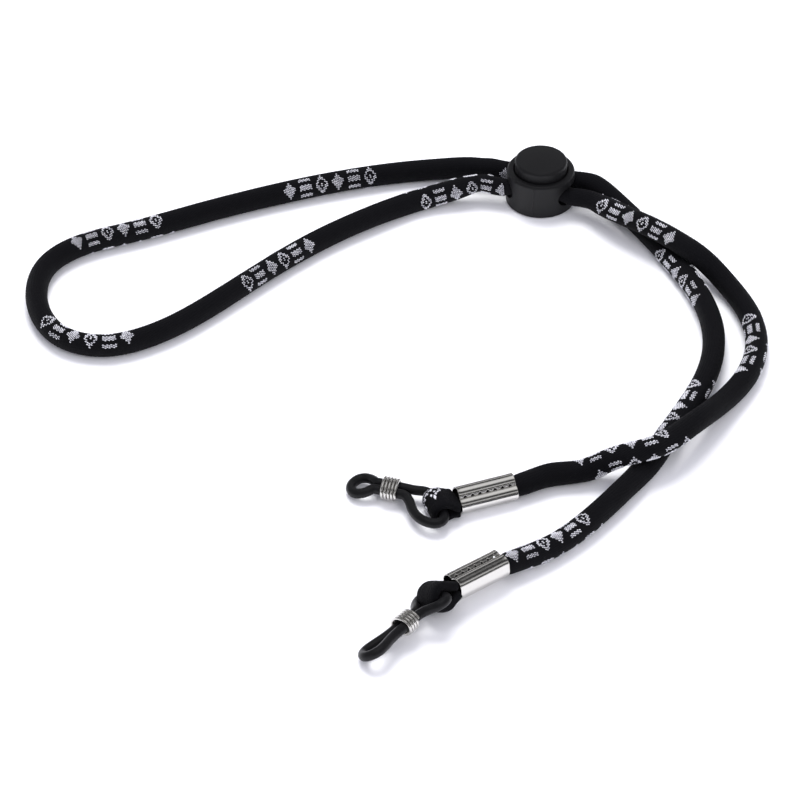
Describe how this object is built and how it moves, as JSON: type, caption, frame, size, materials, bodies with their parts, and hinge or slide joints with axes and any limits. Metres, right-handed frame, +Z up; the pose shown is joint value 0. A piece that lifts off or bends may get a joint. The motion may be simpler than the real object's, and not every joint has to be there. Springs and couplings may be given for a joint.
{
  "type": "eyeglass retainer strap",
  "caption": "Soft round eyewear neck cord with a sliding push-button cord lock, and a rubber temple loop with a wire coil at each metal-tipped end.",
  "frame": {"origin": "centre of the cord lock's base, on the table the strap lies on", "axes": "+X along the two cords through the lock, from the neck loop to the tails; +Z up, along the push button"},
  "size_m": [0.186, 0.1942, 0.0129],
  "materials": {
    "knit": "matte jacquard knit with raised pale geometric motifs",
    "filler": "loose yarn",
    "crimp": "bright nickel, rolled",
    "silicone": "satin moulded",
    "coil": "bright nickel wire",
    "lock": "fine satin moulded",
    "spring": "drawn wire"
  },
  "bodies": {
    "cord": {"neck_sheath": "knit", "neck_core": "filler", "tail_a_sheath": "knit", "tail_a_core": "filler", "tail_b_sheath": "knit", "tail_b_core": "filler"},
    "lock": {"lock_barrel": "lock", "lock_spring": "spring"},
    "button": {"lock_button": "lock"},
    "tail_a_end": {"tail_a_end_sheath": "knit", "tail_a_end_core": "filler", "eye_a": "knit", "ferrule_a": "crimp"},
    "tail_b_end": {"tail_b_end_sheath": "knit", "tail_b_end_core": "filler", "eye_b": "knit", "ferrule_b": "crimp"},
    "temple_ring_a": {"ring_a": "silicone"},
    "temple_ring_b": {"ring_b": "silicone"},
    "wire_coil_a": {"coil_a": "coil"},
    "wire_coil_b": {"coil_b": "coil"}
  },
  "joints": [
    {"name": "lock_slide", "type": "slide", "parent": "cord", "child": "lock", "axis": [1, 0, 0], "range_m": [-0.004, 0.0015]},
    {"name": "button_press", "type": "slide", "parent": "lock", "child": "button", "axis": [0, 0, -1], "range_m": [0, 0.0018], "stiffness_N_per_m": 600, "deforming": ["lock_spring"]},
    {"name": "tail_a_flex", "type": "hinge", "parent": "cord", "child": "tail_a_end", "pos_m": [0.02902, -0.11011, 0.00278], "axis": [0, 0, 1], "range_deg": [-25, 20]},
    {"name": "tail_b_flex", "type": "hinge", "parent": "cord", "child": "tail_b_end", "pos_m": [0.03988, -0.12343, 0.00297], "axis": [0, 0, 1], "range_deg": [-20, 25]},
    {"name": "ring_a_swing", "type": "hinge", "parent": "tail_a_end", "child": "temple_ring_a", "pos_m": [0.003, -0.1286, 0.00285], "axis": [-0.5678, 0.8231, 0], "range_deg": [0, 90]},
    {"name": "ring_b_swing", "type": "hinge", "parent": "tail_b_end", "child": "temple_ring_b", "pos_m": [0.0105, -0.1623, 0.0047], "axis": [-0.6741, 0.4998, -0.5439], "range_deg": [0, 90]},
    {"name": "coil_a_slide", "type": "slide", "parent": "temple_ring_a", "child": "wire_coil_a", "axis": [-0.9976, 0.0698, 0], "range_m": [-0.0007, 0.001]},
    {"name": "coil_b_slide", "type": "slide", "parent": "temple_ring_b", "child": "wire_coil_b", "axis": [-0.4768, -0.8749, -0.0847], "range_m": [-0.0007, 0.001]}
  ]
}
